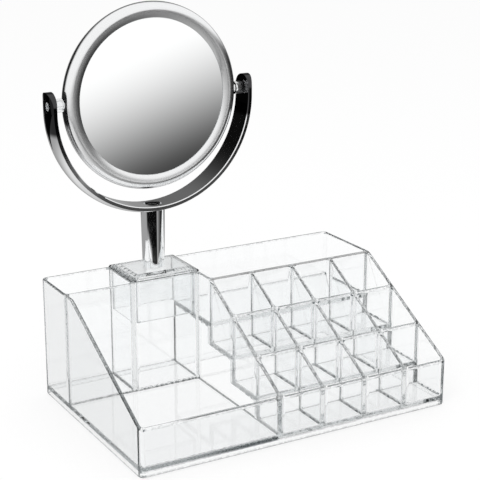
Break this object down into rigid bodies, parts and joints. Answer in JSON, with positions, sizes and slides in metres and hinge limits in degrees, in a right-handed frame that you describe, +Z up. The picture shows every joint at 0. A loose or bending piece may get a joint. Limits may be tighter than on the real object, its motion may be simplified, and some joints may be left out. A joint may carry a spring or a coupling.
{
  "type": "make-up organizer with mirror",
  "caption": "Clear stepped make-up organizer tray with lipstick cells, and a round two-sided mirror that tilts in a chrome yoke and lifts out of a well.",
  "frame": {"origin": "centre of the organizer's underside, on the surface it stands on", "axes": "+Z up, +X to the right as seen from the front, front towards -Y"},
  "size_m": [0.21, 0.14, 0.2458],
  "materials": {
    "clear_plastic": "polished clear",
    "clear_pivot": "polished clear",
    "chrome": "mirror polished plating",
    "fastener": "zinc plated",
    "mirror": "silvered glass",
    "pad": "matt"
  },
  "bodies": {
    "organizer": {"organizer_tray": "clear_plastic"},
    "mirror_stand": {"mirror_base": "clear_plastic", "stem": "chrome", "yoke": "chrome", "yoke_screw": "fastener", "yoke_washer": "fastener", "pivot_stud_left": "clear_pivot", "pivot_stud_right": "clear_pivot", "pivot_collar_left": "clear_pivot", "pivot_collar_right": "clear_pivot"},
    "mirror_head": {"mirror_ring": "chrome", "mirror_glass_plain": "mirror", "mirror_glass_magnifying": "mirror", "mirror_pad": "pad"}
  },
  "joints": [
    {"name": "mirror_lift", "type": "slide", "parent": "organizer", "child": "mirror_stand", "axis": [0, 0, 1], "range_m": [0, 0.04]},
    {"name": "mirror_tilt", "type": "hinge", "parent": "mirror_stand", "child": "mirror_head", "pos_m": [-0.0364, 0.0508, 0.188], "axis": [1, 0, 0], "continuous": true}
  ]
}
